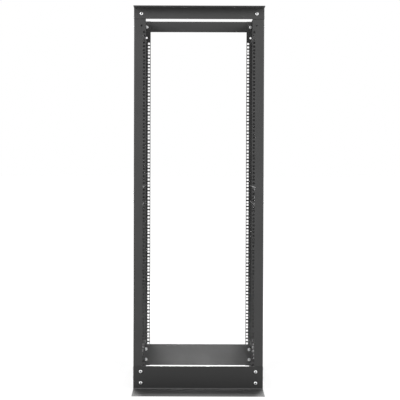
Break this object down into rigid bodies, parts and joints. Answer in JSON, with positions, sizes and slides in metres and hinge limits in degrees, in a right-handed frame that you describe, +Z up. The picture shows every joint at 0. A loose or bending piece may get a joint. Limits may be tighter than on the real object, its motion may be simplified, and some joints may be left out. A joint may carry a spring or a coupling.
{
  "type": "four-post open frame rack",
  "caption": "Open frame equipment rack: L-section posts with square equipment holes, joined by base angles, top angles and side braces with button-head bolts.",
  "frame": {"origin": "on the floor, at the middle of the rack's footprint", "axes": "+Z up, +X to the right of someone facing the front, -Y towards the front"},
  "size_m": [0.5588, 0.9144, 1.6194],
  "materials": {
    "black_paint": "satin black powder coat with a fine texture",
    "zinc": "bright zinc plate"
  },
  "bodies": {
    "root": {"front_left_post": "black_paint", "front_right_post": "black_paint", "front_base_angle": "black_paint", "front_top_angle": "black_paint", "rear_left_post": "black_paint", "rear_right_post": "black_paint", "rear_base_angle": "black_paint", "rear_top_angle": "black_paint", "left_low_brace": "black_paint", "left_mid_brace": "black_paint", "left_high_brace": "black_paint", "right_low_brace": "black_paint", "right_mid_brace": "black_paint", "right_high_brace": "black_paint", "front_left_base_bolts": "zinc", "front_left_top_bolt": "zinc", "front_left_low_brace_bolts": "zinc", "front_left_mid_brace_bolts": "zinc", "front_left_high_brace_bolts": "zinc", "front_right_base_bolts": "zinc", "front_right_top_bolt": "zinc", "front_right_low_brace_bolts": "zinc", "front_right_mid_brace_bolts": "zinc", "front_right_high_brace_bolts": "zinc", "rear_left_base_bolts": "zinc", "rear_left_top_bolt": "zinc", "rear_left_low_brace_bolts": "zinc", "rear_left_mid_brace_bolts": "zinc", "rear_left_high_brace_bolts": "zinc", "rear_right_base_bolts": "zinc", "rear_right_top_bolt": "zinc", "rear_right_low_brace_bolts": "zinc", "rear_right_mid_brace_bolts": "zinc", "rear_right_high_brace_bolts": "zinc"}
  },
  "joints": []
}
